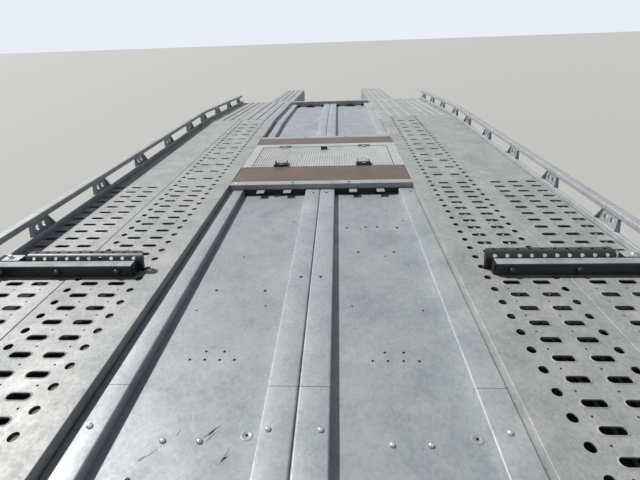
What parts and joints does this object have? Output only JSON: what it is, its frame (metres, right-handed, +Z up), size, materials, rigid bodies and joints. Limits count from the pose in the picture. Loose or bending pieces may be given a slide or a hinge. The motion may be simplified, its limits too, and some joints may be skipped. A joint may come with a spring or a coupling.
{
  "type": "car trailer",
  "caption": "Galvanised flat car trailer with perforated wheel tracks, lashing rails, tool box under a ribbed lid, towing eye and slide-out rear tracks.",
  "frame": {"origin": "centre of the outline on the ground", "axes": "+X towards the towing eye, +Y to the left side, +Z up"},
  "size_m": [9.0482, 2.55, 1.015],
  "materials": {
    "aluminium": "ribbed plate, satin",
    "black_steel": "powder coated",
    "cast": "forged, painted",
    "chassis_black": "painted",
    "galvanised": "hot-dip galvanised, weathered",
    "galvanised_track": "hot-dip galvanised, worn by tyres",
    "lamp_red": "gloss",
    "pad": "slide pad",
    "plate": "blank",
    "plywood": "phenolic film, brown",
    "rubber": "matte",
    "tyre": "matte",
    "wheel_paint": "silver painted"
  },
  "bodies": {
    "chassis": {"air_springs": "rubber", "air_tank": "chassis_black", "axle_front": "chassis_black", "axle_rear": "chassis_black", "centre_beams": "galvanised", "cross_edges": "galvanised", "cross_members": "galvanised", "drawbar": "galvanised", "drawbar_bearers": "galvanised", "edge_beam_left": "galvanised", "edge_beam_right": "galvanised", "end_beam": "galvanised", "front_beam": "galvanised", "inner_plank_left": "galvanised_track", "inner_plank_right": "galvanised_track", "inner_tail_left": "galvanised_track", "inner_tail_right": "galvanised_track", "jack": "galvanised", "lash_brackets": "galvanised", "lash_rail_left": "galvanised", "lash_rail_right": "galvanised", "lid_frame": "aluminium", "main_beam_left": "galvanised", "main_beam_right": "galvanised", "mudguard_left": "chassis_black", "mudguard_right": "chassis_black", "number_plate": "plate", "outer_plank_left": "galvanised_track", "outer_plank_right": "galvanised_track", "outer_tail_left": "galvanised_track", "outer_tail_right": "galvanised_track", "outriggers_left": "galvanised", "outriggers_right": "galvanised", "plywood": "plywood", "rail_strip_left": "galvanised", "rail_strip_right": "galvanised", "rear_bar": "galvanised", "rear_lamps": "lamp_red", "slide_pads": "pad", "suspension_left": "chassis_black", "suspension_right": "chassis_black", "tool_box": "aluminium", "towing_eye": "cast", "well_sheet_left": "galvanised", "well_sheet_right": "galvanised", "wheel_stop_left": "black_steel", "wheel_stop_right": "black_steel"},
    "front_left_wheel": {"tyre_front_left": "tyre", "wheel_front_left": "wheel_paint"},
    "front_right_wheel": {"tyre_front_right": "tyre", "wheel_front_right": "wheel_paint"},
    "rear_left_wheel": {"tyre_rear_left": "tyre", "wheel_rear_left": "wheel_paint"},
    "rear_right_wheel": {"tyre_rear_right": "tyre", "wheel_rear_right": "wheel_paint"},
    "lid": {"lid": "aluminium", "lid_fittings": "black_steel"},
    "left_extension": {"extension_left": "galvanised_track"},
    "right_extension": {"extension_right": "galvanised_track"}
  },
  "joints": [
    {"name": "front_left_wheel_spin", "type": "hinge", "parent": "chassis", "child": "front_left_wheel", "pos_m": [0.79407, 1.1525, 0.3835], "axis": [0, 1, 0], "continuous": true},
    {"name": "front_right_wheel_spin", "type": "hinge", "parent": "chassis", "child": "front_right_wheel", "pos_m": [0.79407, -1.1525, 0.3835], "axis": [0, 1, 0], "continuous": true},
    {"name": "rear_left_wheel_spin", "type": "hinge", "parent": "chassis", "child": "rear_left_wheel", "pos_m": [-0.15593, 1.1525, 0.3835], "axis": [0, 1, 0], "continuous": true},
    {"name": "rear_right_wheel_spin", "type": "hinge", "parent": "chassis", "child": "rear_right_wheel", "pos_m": [-0.15593, -1.1525, 0.3835], "axis": [0, 1, 0], "continuous": true},
    {"name": "lid_hinge", "type": "hinge", "parent": "chassis", "child": "lid", "pos_m": [0.43457, 0, 0.92], "axis": [0, -1, 0], "range_deg": [0, 95]},
    {"name": "left_extension_slide", "type": "slide", "parent": "chassis", "child": "left_extension", "axis": [0.9986, 0, 0.0532], "range_m": [0, 1.25]},
    {"name": "right_extension_slide", "type": "slide", "parent": "chassis", "child": "right_extension", "axis": [0.9986, 0, 0.0532], "range_m": [0, 1.25]}
  ]
}
